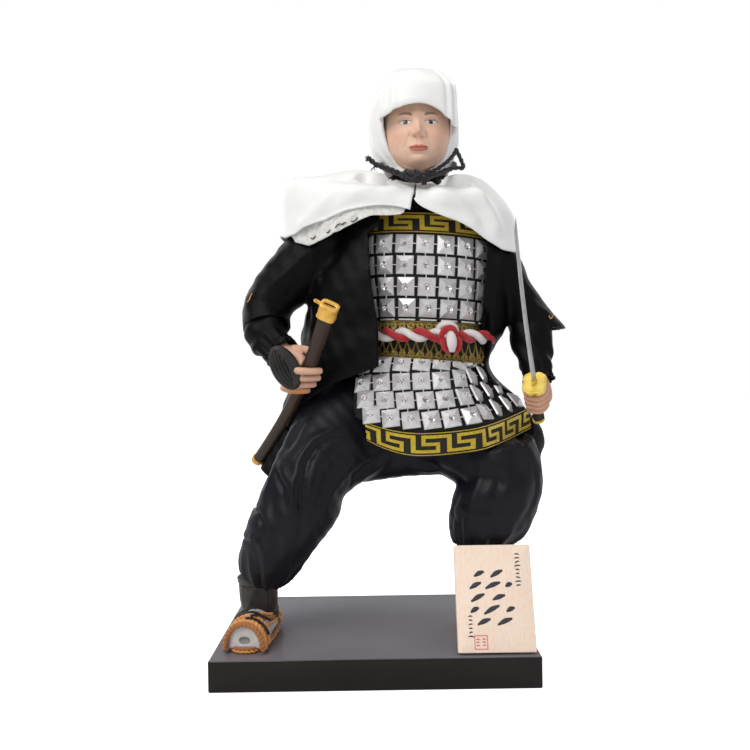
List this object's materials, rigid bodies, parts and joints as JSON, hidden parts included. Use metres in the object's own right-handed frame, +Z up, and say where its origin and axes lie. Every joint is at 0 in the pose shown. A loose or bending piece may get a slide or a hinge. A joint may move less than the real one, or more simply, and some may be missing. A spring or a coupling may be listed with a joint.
{
  "type": "samurai figure",
  "caption": "Standing cloth-dressed warrior doll in white cowl, studded armour and black jacket, holding scabbard and drawn sword, on a black plinth with a leaning name board.",
  "frame": {"origin": "middle of the plinth's underside", "axes": "+Z up; the figure faces -Y; +X is to the figure's left hand"},
  "size_m": [0.1944, 0.1531, 0.334],
  "materials": {
    "lacquer": "glossy black-brown lacquer",
    "board_wood": "pale planed wood with fine upright grain and brushed ink",
    "black_cloth": "matt black woven cloth",
    "black_satin": "black satin with a blue-grey sheen",
    "white_satin": "off-white satin",
    "skin": "painted doll skin",
    "dark_cord": "aubergine-black twisted cord",
    "silver_studs": "silver-coloured square studs on black net",
    "gold_brocade": "gold key-pattern brocade on black",
    "waist_braid": "dark gold braid",
    "twisted_rope": "red and white strands twisted together",
    "dark_leather": "black-brown leather cloth",
    "brown_lacquer": "dark brown semi-matt",
    "gold_fittings": "yellow gold colour",
    "blade_steel": "silver-grey",
    "grey_sock": "pale grey toe",
    "orange_straw": "orange straw-coloured plait"
  },
  "bodies": {
    "root": {"plinth": "lacquer", "name_board": "board_wood", "kimono": "black_cloth", "head": "skin", "cowl": "white_satin", "cowl_band": "white_satin", "cape": "white_satin", "neck_cord": "dark_cord", "breastplate": "silver_studs", "breast_border": "gold_brocade", "waist_band": "waist_braid", "rope_belt": "twisted_rope", "apron": "silver_studs", "apron_border": "gold_brocade", "jacket": "black_cloth", "right_sleeve": "black_satin", "left_sleeve": "black_satin", "trousers": "black_satin", "right_hand": "skin", "left_hand": "skin", "right_hand_guard": "dark_leather", "scabbard": "brown_lacquer", "scabbard_collar": "gold_fittings", "scabbard_cap": "gold_fittings", "blade": "blade_steel", "sword_guard": "gold_fittings", "sword_grip": "brown_lacquer", "sword_pommel": "gold_fittings", "right_shin_guard": "dark_leather", "left_shin_guard": "dark_leather", "right_foot": "grey_sock", "left_foot": "grey_sock", "right_sandal": "orange_straw", "left_sandal": "orange_straw"}
  },
  "joints": []
}
